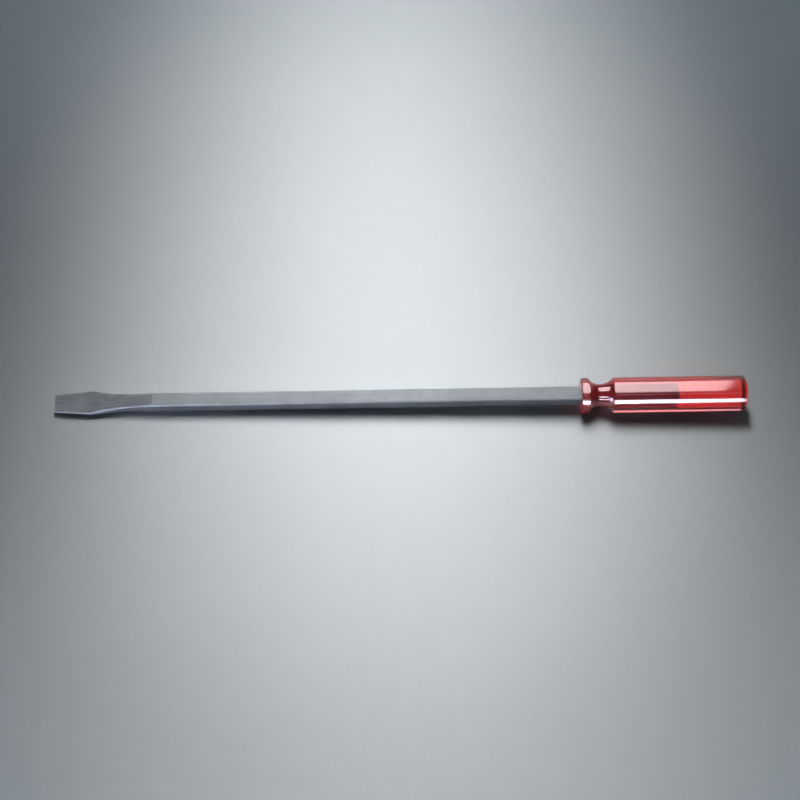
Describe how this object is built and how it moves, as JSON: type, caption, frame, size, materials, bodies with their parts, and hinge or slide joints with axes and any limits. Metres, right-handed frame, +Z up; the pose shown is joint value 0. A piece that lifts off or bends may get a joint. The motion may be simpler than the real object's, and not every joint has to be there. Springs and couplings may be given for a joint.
{
  "type": "flat-blade screwdriver",
  "caption": "Long flat-blade screwdriver: flared, ground tip on a square steel shank, pressed deep into a clear red octagonal handle with a turned collar and neck.",
  "frame": {"origin": "centre of the flat end of the tip", "axes": "+X along the tool from the tip to the handle; +Z up, square to the tip's broad ground faces, with one facet of the handle and one flat of the shank facing it; +Y across the tip's working width"},
  "size_m": [0.6012, 0.0288, 0.0288],
  "materials": {
    "dark_steel": "satin",
    "clear_red_acetate": "gloss"
  },
  "bodies": {
    "root": {"blade": "dark_steel", "handle": "clear_red_acetate"}
  },
  "joints": []
}
